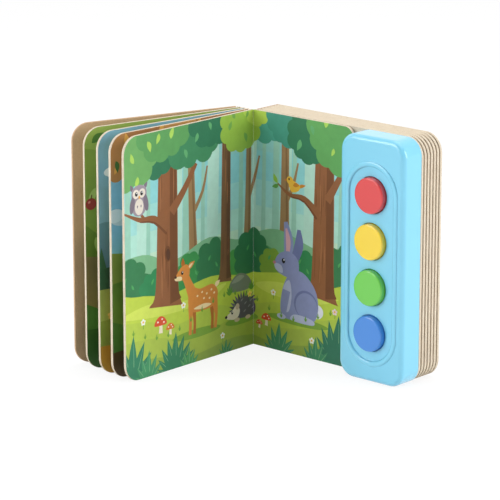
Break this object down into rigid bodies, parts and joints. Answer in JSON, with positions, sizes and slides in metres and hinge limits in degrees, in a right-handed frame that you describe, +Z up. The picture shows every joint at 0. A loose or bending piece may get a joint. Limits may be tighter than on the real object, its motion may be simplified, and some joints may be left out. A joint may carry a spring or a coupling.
{
  "type": "sound book",
  "caption": "Children's board book standing half open, with fanned leaves and a battery sound module with round press buttons along the fore edge.",
  "frame": {"origin": "middle of the base of the half-open book, on the surface that it stands on", "axes": "+X along the right-hand page from the spine to the fore edge, +Y from the reader through the block to the back cover, +Z up"},
  "size_m": [0.2198, 0.1626, 0.18],
  "materials": {
    "page_board": "cream solid board, cut edges bare",
    "printed_board": "printed paper on board with cream cut edges",
    "kraft_board": "bare kraft-faced board",
    "sky_plastic": "moulded, glossy light blue",
    "housing_plastic": "moulded, satin white",
    "red_plastic": "moulded, glossy red",
    "yellow_plastic": "moulded, glossy yellow",
    "green_plastic": "moulded, glossy green",
    "blue_plastic": "moulded, glossy blue",
    "keypad_rubber": "moulded grey silicone rubber",
    "circuit_laminate": "green solder mask",
    "black_epoxy": "black epoxy drop",
    "bright_steel": "nickel-plated steel",
    "magnet_steel": "zinc-plated",
    "black_paper": "pressed black paper",
    "red_wire": "red PVC sheath",
    "black_wire": "black PVC sheath"
  },
  "bodies": {
    "block": {"page_block": "page_board", "back_cover": "kraft_board", "spine_panel": "kraft_board", "module_front_shell": "sky_plastic", "module_rear_shell": "housing_plastic", "keypad_mat": "keypad_rubber", "circuit_board": "circuit_laminate", "sound_chip": "black_epoxy", "speaker_basket": "bright_steel", "speaker_cone": "black_paper", "speaker_magnet": "magnet_steel", "contact_plate": "bright_steel", "contact_spring": "bright_steel", "battery_door": "housing_plastic", "door_screw": "bright_steel", "speaker_wire_red": "red_wire", "speaker_wire_black": "black_wire", "battery_wire_red": "red_wire", "battery_wire_black": "black_wire", "blue_dome": "keypad_rubber", "green_dome": "keypad_rubber", "yellow_dome": "keypad_rubber", "red_dome": "keypad_rubber", "board_screw_1": "bright_steel", "shell_screw_1": "bright_steel", "board_screw_2": "bright_steel", "shell_screw_2": "bright_steel", "board_screw_3": "bright_steel", "shell_screw_3": "bright_steel", "board_screw_4": "bright_steel", "shell_screw_4": "bright_steel", "button_cell_1": "bright_steel", "button_cell_2": "bright_steel", "button_cell_3": "bright_steel"},
    "front_leaves": {"front_leaves": "printed_board"},
    "front_cover": {"front_cover": "kraft_board"},
    "blue_button": {"blue_button": "blue_plastic"},
    "green_button": {"green_button": "green_plastic"},
    "yellow_button": {"yellow_button": "yellow_plastic"},
    "red_button": {"red_button": "red_plastic"}
  },
  "joints": [
    {"name": "spine_fold", "type": "hinge", "parent": "block", "child": "front_leaves", "pos_m": [-0.04634, 0.05472, 0], "axis": [0, 0, 1], "range_deg": [-90, 79.8]},
    {"name": "cover_fold", "type": "hinge", "parent": "front_leaves", "child": "front_cover", "pos_m": [-0.06503, 0.05502, 0], "axis": [0, 0, 1], "range_deg": [-65, 6.3]},
    {"name": "blue_press", "type": "slide", "parent": "block", "child": "blue_button", "axis": [0, 1, 0], "range_m": [0, 0.0018], "stiffness_N_per_m": 400, "springref_m": -0.001, "deforming": ["blue_dome"]},
    {"name": "green_press", "type": "slide", "parent": "block", "child": "green_button", "axis": [0, 1, 0], "range_m": [0, 0.0018], "stiffness_N_per_m": 400, "springref_m": -0.001, "deforming": ["green_dome"]},
    {"name": "yellow_press", "type": "slide", "parent": "block", "child": "yellow_button", "axis": [0, 1, 0], "range_m": [0, 0.0018], "stiffness_N_per_m": 400, "springref_m": -0.001, "deforming": ["yellow_dome"]},
    {"name": "red_press", "type": "slide", "parent": "block", "child": "red_button", "axis": [0, 1, 0], "range_m": [0, 0.0018], "stiffness_N_per_m": 400, "springref_m": -0.001, "deforming": ["red_dome"]}
  ]
}
